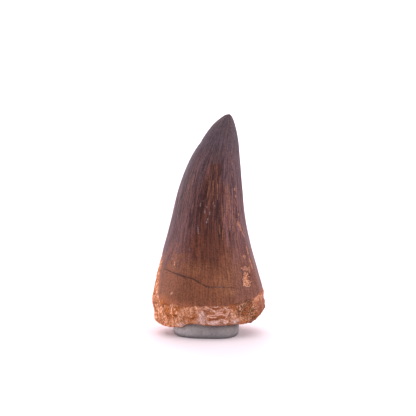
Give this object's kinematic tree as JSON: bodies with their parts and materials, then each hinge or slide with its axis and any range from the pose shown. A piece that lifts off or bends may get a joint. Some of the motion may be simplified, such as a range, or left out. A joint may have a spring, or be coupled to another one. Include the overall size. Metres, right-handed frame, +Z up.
{
  "type": "fossil mosasaur tooth on a putty pad",
  "caption": "Fossil marine reptile tooth: dark brown, curved, faceted enamel crown over a broken bony collar, standing on a pressed grey putty pad.",
  "frame": {"origin": "middle of the putty pad's flat foot, on the surface it stands on", "axes": "+Z up, from the pad to the crown's tip; -Y is the tooth's front, the face between its two cutting ridges; +X is the side the tip leans to"},
  "size_m": [0.0266, 0.0202, 0.0512],
  "materials": {
    "fossil_enamel": "satin dark brown mineralised enamel with fine lengthwise striae, over rough orange-tan bone at the base",
    "putty": "matt grey mounting putty with fine dark specks"
  },
  "bodies": {
    "root": {"tooth": "fossil_enamel", "putty_pad": "putty"}
  },
  "joints": []
}
